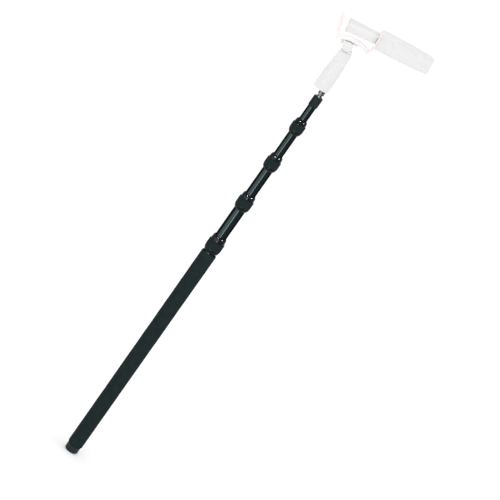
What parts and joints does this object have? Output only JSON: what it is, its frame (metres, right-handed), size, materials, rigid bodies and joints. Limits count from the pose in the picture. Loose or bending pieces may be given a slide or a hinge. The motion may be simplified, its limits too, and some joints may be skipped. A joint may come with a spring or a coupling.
{
  "type": "telescopic microphone boom pole",
  "caption": "Hand-held telescopic pole with twist locks and a foam grip, carrying a tilting hand grip, an elastic cradle and a microphone in a foam windshield.",
  "frame": {"origin": "centre of the rubber pad's bottom face at the pole's butt", "axes": "+Z along the pole from butt to tip; +X the way the microphone points; +Y completes a right-handed frame"},
  "size_m": [0.2396, 0.0654, 1.3284],
  "materials": {
    "tube": "gloss black anodised",
    "grip_foam": "dark closed-cell foam",
    "butt_plastic": "satin black moulded",
    "rubber": "matt rubber",
    "collar_plastic": "fine-textured black moulded",
    "collar_rubber": "fluted matt rubber",
    "guide_plastic": "natural acetal",
    "tip_plastic": "dark satin",
    "polished_metal": "polished",
    "brass": "turned",
    "pale_plastic": "pale moulded",
    "pale_rubber": "pale soft-touch",
    "white_plastic": "white moulded",
    "pink_rail": "pale pink coated",
    "elastic": "braided elastic",
    "pale_metal": "pale painted",
    "nickel": "nickel plated",
    "cell_wrap": "printed wrap, left plain",
    "board": "green laminate",
    "windshield_foam": "pale open-cell foam"
  },
  "bodies": {
    "handle": {"base_tube": "tube", "foam_grip": "grip_foam", "butt_plug": "collar_plastic", "ferrule_1": "collar_plastic", "collet_1": "guide_plastic"},
    "end_cap": {"butt_cap": "butt_plastic", "butt_pad": "rubber"},
    "section_2": {"tube_2": "tube", "guide_plug_2": "guide_plastic", "ferrule_2": "collar_plastic", "collet_2": "guide_plastic"},
    "section_3": {"tube_3": "tube", "guide_plug_3": "guide_plastic", "ferrule_3": "collar_plastic", "collet_3": "guide_plastic"},
    "section_4": {"tube_4": "tube", "guide_plug_4": "guide_plastic", "ferrule_4": "collar_plastic", "collet_4": "guide_plastic"},
    "section_5": {"tube_5": "tube", "guide_plug_5": "guide_plastic", "tip_sleeve": "tip_plastic", "tip_insert": "polished_metal"},
    "lock_1": {"lock_nut_1": "collar_plastic", "lock_sleeve_1": "collar_rubber"},
    "lock_2": {"lock_nut_2": "collar_plastic", "lock_sleeve_2": "collar_rubber"},
    "lock_3": {"lock_nut_3": "collar_plastic", "lock_sleeve_3": "collar_rubber"},
    "lock_4": {"lock_nut_4": "collar_plastic", "lock_sleeve_4": "collar_rubber"},
    "tip_nut": {"jam_nut": "polished_metal"},
    "hand_grip": {"grip_base": "pale_plastic", "thread_insert": "brass", "grip_core": "pale_plastic", "grip_sleeve": "pale_rubber", "knuckle_fork": "pale_plastic", "tilt_bolt": "pale_metal"},
    "knob": {"tilt_knob": "pale_plastic"},
    "tilt_head": {"tilt_tongue": "pale_plastic"},
    "cradle": {"cradle_plate": "white_plastic", "cradle_rails": "pink_rail", "suspension_bands": "elastic"},
    "clamp_ring": {"shoe_ring": "pale_plastic"},
    "microphone": {"mic_case": "pale_metal", "interference_tube": "pale_metal", "capsule": "nickel", "battery_cell": "cell_wrap", "circuit_board": "board"},
    "rear_cap": {"mic_rear_cap": "pale_metal", "output_jack": "nickel"},
    "switch": {"power_switch": "pale_plastic"},
    "windshield": {"foam_windshield": "windshield_foam"}
  },
  "joints": [
    {"name": "end_cap_turn", "type": "hinge", "parent": "handle", "child": "end_cap", "pos_m": [0, 0, 0.01], "axis": [0, 0, -1], "range_deg": [0, 180]},
    {"name": "section_2_slide", "type": "slide", "parent": "handle", "child": "section_2", "axis": [0, 0, 1], "range_m": [-0.083, 0.4545]},
    {"name": "section_3_slide", "type": "slide", "parent": "section_2", "child": "section_3", "axis": [0, 0, 1], "range_m": [-0.075, 0.462]},
    {"name": "section_4_slide", "type": "slide", "parent": "section_3", "child": "section_4", "axis": [0, 0, 1], "range_m": [-0.0645, 0.4725]},
    {"name": "section_5_slide", "type": "slide", "parent": "section_4", "child": "section_5", "axis": [0, 0, 1], "range_m": [-0.0395, 0.4975]},
    {"name": "lock_1_turn", "type": "hinge", "parent": "handle", "child": "lock_1", "pos_m": [0, 0, 0.6545], "axis": [0, 0, 1], "range_deg": [0, 120]},
    {"name": "lock_2_turn", "type": "hinge", "parent": "section_2", "child": "lock_2", "pos_m": [0, 0, 0.7845], "axis": [0, 0, 1], "range_deg": [0, 120]},
    {"name": "lock_3_turn", "type": "hinge", "parent": "section_3", "child": "lock_3", "pos_m": [0, 0, 0.9043], "axis": [0, 0, 1], "range_deg": [0, 120]},
    {"name": "lock_4_turn", "type": "hinge", "parent": "section_4", "child": "lock_4", "pos_m": [0, 0, 1.0114], "axis": [0, 0, 1], "range_deg": [0, 120]},
    {"name": "tip_nut_turn", "type": "hinge", "parent": "section_5", "child": "tip_nut", "pos_m": [0, 0, 1.11], "axis": [0, 0, 1], "range_deg": [0, 180]},
    {"name": "grip_pan", "type": "hinge", "parent": "section_5", "child": "hand_grip", "pos_m": [0, 0, 1.12], "axis": [0, 0, 1], "range_deg": [-180, 180]},
    {"name": "knob_turn", "type": "hinge", "parent": "hand_grip", "child": "knob", "pos_m": [-0.013, -0.0167, 1.238], "axis": [0, -1, 0], "range_deg": [0, 180]},
    {"name": "head_tilt", "type": "hinge", "parent": "hand_grip", "child": "tilt_head", "pos_m": [-0.013, 0, 1.238], "axis": [0, 1, 0], "range_deg": [-45, 45]},
    {"name": "cradle_slide", "type": "slide", "parent": "tilt_head", "child": "cradle", "axis": [0.9917, 0, 0.1288], "range_m": [-0.01, 0.001]},
    {"name": "clamp_ring_turn", "type": "hinge", "parent": "cradle", "child": "clamp_ring", "pos_m": [-0.01487, 0, 1.25238], "axis": [-0.1288, 0, 0.9917], "range_deg": [0, 180]},
    {"name": "suspension", "type": "slide", "parent": "cradle", "child": "microphone", "axis": [-0.1288, 0, 0.9917], "range_m": [-0.003, 0.003], "stiffness_N_per_m": 1500, "springref_m": 0.0014, "deforming": ["suspension_bands"]},
    {"name": "rear_cap_turn", "type": "hinge", "parent": "microphone", "child": "rear_cap", "pos_m": [-0.04225, 0, 1.27737], "axis": [-0.9857, 0, -0.1685], "range_deg": [0, 90]},
    {"name": "switch_slide", "type": "slide", "parent": "microphone", "child": "switch", "axis": [0.9857, 0, 0.1685], "range_m": [-0.003, 0.003]},
    {"name": "windshield_slide", "type": "slide", "parent": "microphone", "child": "windshield", "axis": [0.9917, 0, 0.1288], "range_m": [0, 0.15]}
  ]
}
